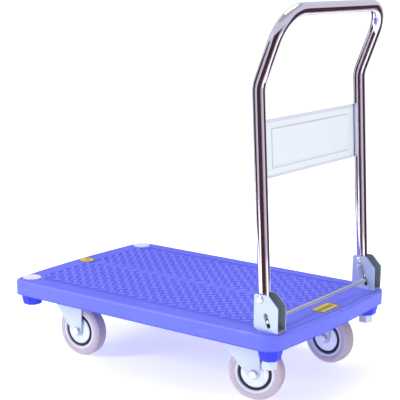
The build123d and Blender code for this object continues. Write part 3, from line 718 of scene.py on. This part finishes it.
deck_tread()
for shape_name in ("round", "end"):
    node = shape_name + "_label"
    is_round = shape_name == "round"
    refinish(node, yellow_label(shape_name + "_yellow", middle(node), half_size(node), is_round))


# ---------------------------------------------------------------- pressed steel
for node in ("left_bracket", "right_bracket"):
    finish = bracket_zinc(node + "_zinc", middle(node).y, half_size(node).y - BRACKET_PLATE)
    softened(node, 0.5 * MM, "root", finish)
softened("handle_panel", 0.35 * MM, "handle", PANEL, angle=40)
for node in ("bracket_nuts", "mount_bolts"):
    softened(node, 0.6 * MM, "root", ZINC)
RIVET = rivet_steel(middle("pivot_rivets"))
softened("pivot_rivets", 0.8 * MM, "root", RIVET, segments=4)


# ---------------------------------------------------------------- wheels
# Sections of the turned pieces, each point as rounded() takes it
TYRE_SECTION = rounded(
    [
        (-16.2, 44.0, 0.5),
        (16.2, 44.0, 0.5),
        (17.0, 47.0, 1.2),
        (17.0, 52.0, 3.0),
        (12.0, 59.3, 5.0),
        (0.0, 60.0, 20.0),
        (-12.0, 59.3, 5.0),
        (-17.0, 52.0, 3.0),
        (-17.0, 47.0, 1.2),
    ],
    None,
    5,
)
RIM_SECTION = rounded(
    [
        (-16.0, 44.0),
        (-16.6, 42.5),
        (-16.6, 39.5),
        (-14.0, 37.6),
        (-4.5, 37.2, 2.0),
        (-4.0, 20.0, 2.0),
        (-17.0, 19.0),
        (-17.0, 15.1),
        (-8.0, 15.1),
        (-8.0, 9.2),
        (8.0, 9.2),
        (8.0, 15.1),
        (17.0, 15.1),
        (17.0, 19.0),
        (4.0, 20.0, 2.0),
        (4.5, 37.2, 2.0),
        (14.0, 37.6),
        (16.6, 39.5),
        (16.6, 42.5),
        (16.0, 44.0),
    ],
    0.6,
    3,
)


def seal_outline(side):
    """Section of one dark seal ring."""
    return rounded(
        [
            (side * 11.2, 37.1),
            (side * 14.6, 36.6),
            (side * 15.3, 35.0),
            (side * 15.3, 32.6),
            (side * 14.4, 31.1),
            (side * 11.2, 31.1),
        ],
        0.5,
        3,
    )


def cover_outline(side):
    """Section of one pressed hub cover."""
    return rounded(
        [
            (side * 12.8, 30.9),
            (side * 14.6, 30.9),
            (side * 16.2, 27.5, 1.5),
            (side * 16.6, 22.0, 2.0),
            (side * 18.0, 19.5, 1.5),
            (side * 18.5, 16.0, 1.5),
            (side * 18.5, 8.6, 0.4),
            (side * 17.1, 8.6, 0.4),
            (side * 17.1, 19.2, 0.4),
            (side * 15.4, 22.0, 1.0),
            (side * 15.0, 27.0, 1.0),
        ],
        0.4,
        3,
    )


def wheel_pieces(corner):
    """Tyre, rim, seal rings and covers of one wheel as turned shapes."""
    centre = middle(corner + "_tyre")
    axle = Vector(joints[corner + "_roll"]["axis"]).normalized()
    parts = [
        ("tyre_moulded", TYRE_SECTION, "tyre_grey", grey_rubber(centre, axle), ("tyre",)),
        ("rim_moulded", RIM_SECTION, "hub_grey", NYLON, ("wheel_core",)),
    ]
    for side, hand in ((-1, "inner"), (1, "outer")):
        seals = ("seal_rings",) if side < 0 else ()
        covers = ("hub_covers",) if side < 0 else ()
        parts.append(("seal_" + hand, seal_outline(side), "black_seal", BLACK, seals))
        parts.append(("cover_" + hand, cover_outline(side), "cover_zinc", COVER_ZINC, covers))
    for name, outline, slot, material, nodes in parts:
        nodes = tuple(f"{corner}_{node}" for node in nodes)
        shape = turned(outline, centre, axle)
        piece(f"{corner}_{name}", shape, corner + "_wheel", material, nodes, 40)


for corner in CORNERS:
    wheel_pieces(corner)
    holder = corner + "_caster" if corner.startswith("rear") else "root"
    softened(f"{corner}_fork", 0.5 * MM, holder, ZINC)
    for part in ("axle_bolt", "axle_nut"):
        softened(f"{corner}_{part}", 0.5 * MM, holder, BOLT_ZINC)


# ---------------------------------------------------------------- return springs
def spring_coil(top, foot, start, end, turns):
    """An open coil from start to end, with a ring round the pin at top and the bar at foot."""
    shape = bmesh.new()
    line = (foot - top).normalized()
    side = Vector((0, 1, 0))
    steps = 14 * turns  # 14 to each turn of the wire
    place = Matrix.Translation(start + side * (SPRING_COIL_R - SPRING_WIRE_R))
    aim = line.cross(side).to_track_quat("Z", "Y").to_matrix().to_4x4()
    bmesh.ops.create_circle(shape, cap_ends=True, segments=8, radius=SPRING_WIRE_R,
                            matrix=place @ aim)
    bmesh.ops.spin(
        shape, geom=shape.verts[:] + shape.edges[:] + shape.faces[:], cent=start, axis=line,
        dvec=line * ((end - start).length / steps), angle=2 * pi * turns, steps=steps,
    )
    for middle_point, inner_end in ((top, start), (foot, end)):
        inward = (middle_point - inner_end).normalized()
        spot = Matrix.Translation(inner_end + inward * SPRING_WIRE_R)
        seen = len(shape.verts)
        bmesh.ops.create_circle(shape, segments=8, radius=SPRING_WIRE_R, matrix=spot @ aim)
        shape.verts.ensure_lookup_table()
        ring = shape.verts[seen:]
        edges = list({edge for vert in ring for edge in vert.link_edges})
        bmesh.ops.spin(shape, geom=ring + edges, cent=middle_point, axis=side, angle=2 * pi,
                       steps=20, use_merge=True)
    bmesh.ops.remove_doubles(shape, verts=shape.verts[:], dist=1e-7)
    bmesh.ops.recalc_face_normals(shape, faces=shape.faces[:])
    return shape


pin_middle = middle("spring_anchor_pins")
bar_middle = middle("release_bar")
spring_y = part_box("return_springs")[1][1] - SPRING_BODY_R
for hand, side in (("left", -1), ("right", 1)):
    top = Vector((pin_middle.x, side * spring_y, pin_middle.z))
    foot = Vector((bar_middle.x, side * spring_y, bar_middle.z))
    line = (foot - top).normalized()
    start = top + line * (PIN_RING_R + SPRING_WIRE_R)
    end = foot - line * (BAR_RING_R + SPRING_WIRE_R)
    coil = spring_coil(top, foot, start, end, 12)
    replaced = ("return_springs",) if side < 0 else ()
    spring = piece(hand + "_return_spring", coil, None, WIRE, replaced, 60)
    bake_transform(spring)
